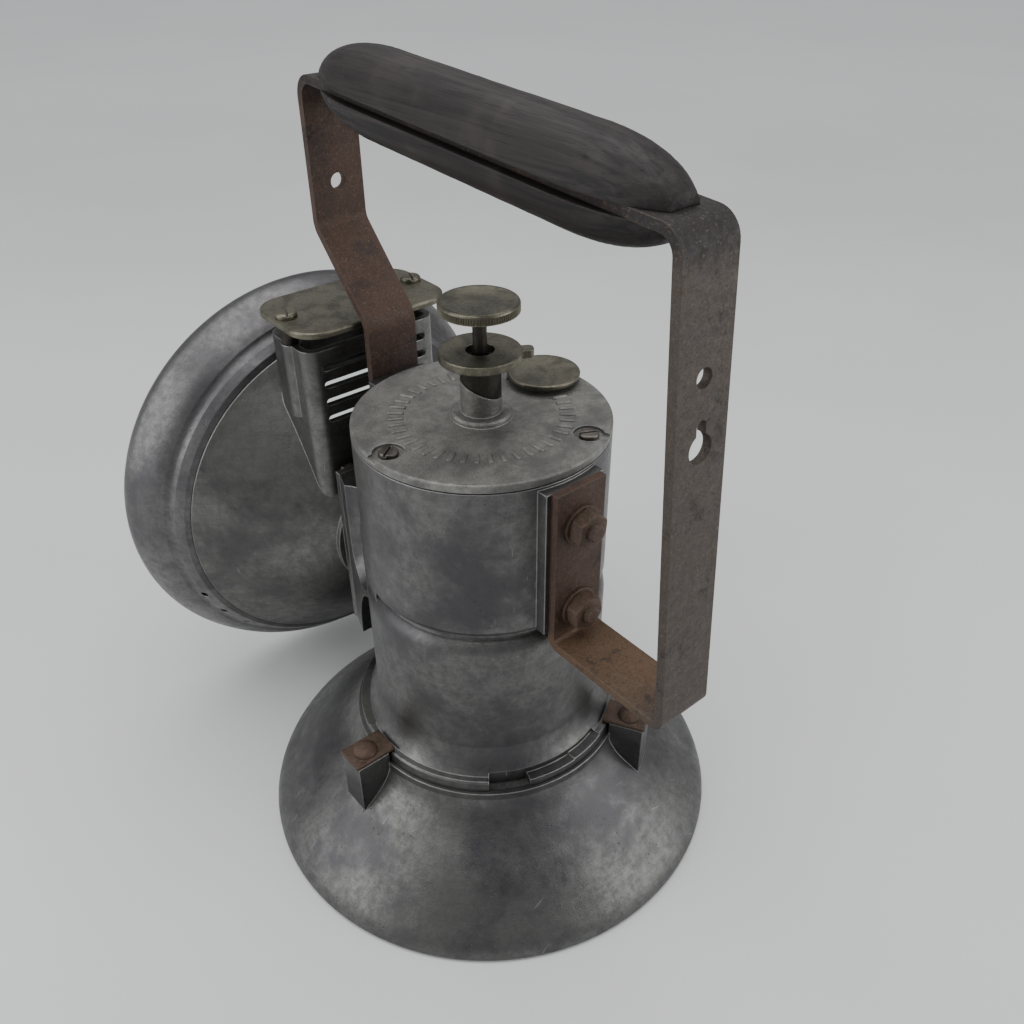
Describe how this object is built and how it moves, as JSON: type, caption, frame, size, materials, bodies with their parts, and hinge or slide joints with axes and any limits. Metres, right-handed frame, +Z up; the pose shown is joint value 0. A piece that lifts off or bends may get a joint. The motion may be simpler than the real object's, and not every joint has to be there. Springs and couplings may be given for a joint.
{
  "type": "carbide lamp",
  "caption": "Carbide hand lamp: flared carbide base, drum water tank with drip valve, round lamp head with roof vent, and a flat steel handle with wooden grip.",
  "frame": {"origin": "centre of the base's flat underside", "axes": "+Z up along the tank's axis, the lamp's beam points to -Y, the handle's tall leg is on the +Y side"},
  "size_m": [0.2012, 0.2545, 0.3085],
  "materials": {
    "cast_aluminium": "dull oxidised sand casting with darker patches",
    "lid_casting": "rougher light grey casting",
    "head_aluminium": "dull oxidised casting with burnished patches",
    "ring_aluminium": "spun aluminium dulled with age",
    "tarnished_brass": "brushed brass under olive tarnish",
    "dark_brass": "blackened brass",
    "dull_steel": "dull steel screws",
    "rusted_strap": "flat bar with brown rust worn to dark steel",
    "rusty_iron": "rough rust",
    "tinned_sheet": "dull tinned sheet",
    "dark_wood": "nearly black stained wood, scuffed",
    "black_rubber": "aged black rubber",
    "grey_felt": "grey felt",
    "clear_glass": "clear flat glass",
    "bright_reflector": "polished silvered reflector",
    "pale_steatite": "pale fired stone"
  },
  "bodies": {
    "lamp_body": {"body_casting": "cast_aluminium", "valve_seat": "dark_brass", "drip_tube": "dark_brass", "filter_plate": "tinned_sheet", "felt_filter": "grey_felt", "lid": "lid_casting", "lid_gasket": "black_rubber", "lid_screws": "dull_steel", "filler_pin": "dull_steel", "head_casting": "head_aluminium", "head_screws": "dull_steel", "gas_tube": "dark_brass", "tube_nut": "dark_brass", "burner_holder": "tarnished_brass", "burner_tip": "pale_steatite", "reflector": "bright_reflector", "vent_cover": "tarnished_brass", "vent_spacers": "dark_brass", "vent_screws": "tarnished_brass", "handle_strap": "rusted_strap", "strap_studs": "rusty_iron", "strap_washers": "rusty_iron", "strap_nuts": "rusty_iron", "grip_upper": "dark_wood", "grip_lower": "dark_wood", "grip_screws": "dull_steel"},
    "base": {"base_bell": "cast_aluminium", "base_floor": "tinned_sheet", "base_gasket": "black_rubber", "carbide_basket": "tinned_sheet", "hook_plates": "rusty_iron", "hook_rivets": "rusty_iron"},
    "valve_lift": {"valve_guide": "dark_brass"},
    "regulator": {"regulator_sleeve": "dark_brass", "regulator_disc": "tarnished_brass"},
    "needle": {"valve_stem": "dark_brass", "valve_knob": "tarnished_brass"},
    "filler_lid": {"filler_cap": "tarnished_brass"},
    "lens_holder": {"lens_ring": "ring_aluminium", "lens_gasket": "black_rubber", "lens_glass": "clear_glass", "lens_retainer": "dull_steel"}
  },
  "joints": [
    {"name": "base_turn", "type": "hinge", "parent": "lamp_body", "child": "base", "pos_m": [0, 0, 0.05], "axis": [0, 0, 1], "range_deg": [-60, 0]},
    {"name": "valve_rise", "type": "slide", "parent": "lamp_body", "child": "valve_lift", "axis": [0, 0, 1], "range_m": [0, 0.00589]},
    {"name": "regulator_turn", "type": "hinge", "parent": "valve_lift", "child": "regulator", "pos_m": [0, 0, 0.2], "axis": [0, 0, 1], "range_deg": [-90, 0]},
    {"name": "knob_turn", "type": "hinge", "parent": "valve_lift", "child": "needle", "pos_m": [0, 0, 0.2], "axis": [0, 0, 1], "range_deg": [0, 360]},
    {"name": "filler_swing", "type": "hinge", "parent": "lamp_body", "child": "filler_lid", "pos_m": [-0.04344, -0.00792, 0.194], "axis": [0, 0, 1], "range_deg": [0, 160]},
    {"name": "lens_ring_turn", "type": "hinge", "parent": "lamp_body", "child": "lens_holder", "pos_m": [0, -0.12, 0.106], "axis": [0, 1, 0], "range_deg": [0, 20]}
  ],
  "couplings": [
    {"joint": "regulator_turn", "follows": "valve_rise", "rad_per_m": -266.67}
  ]
}
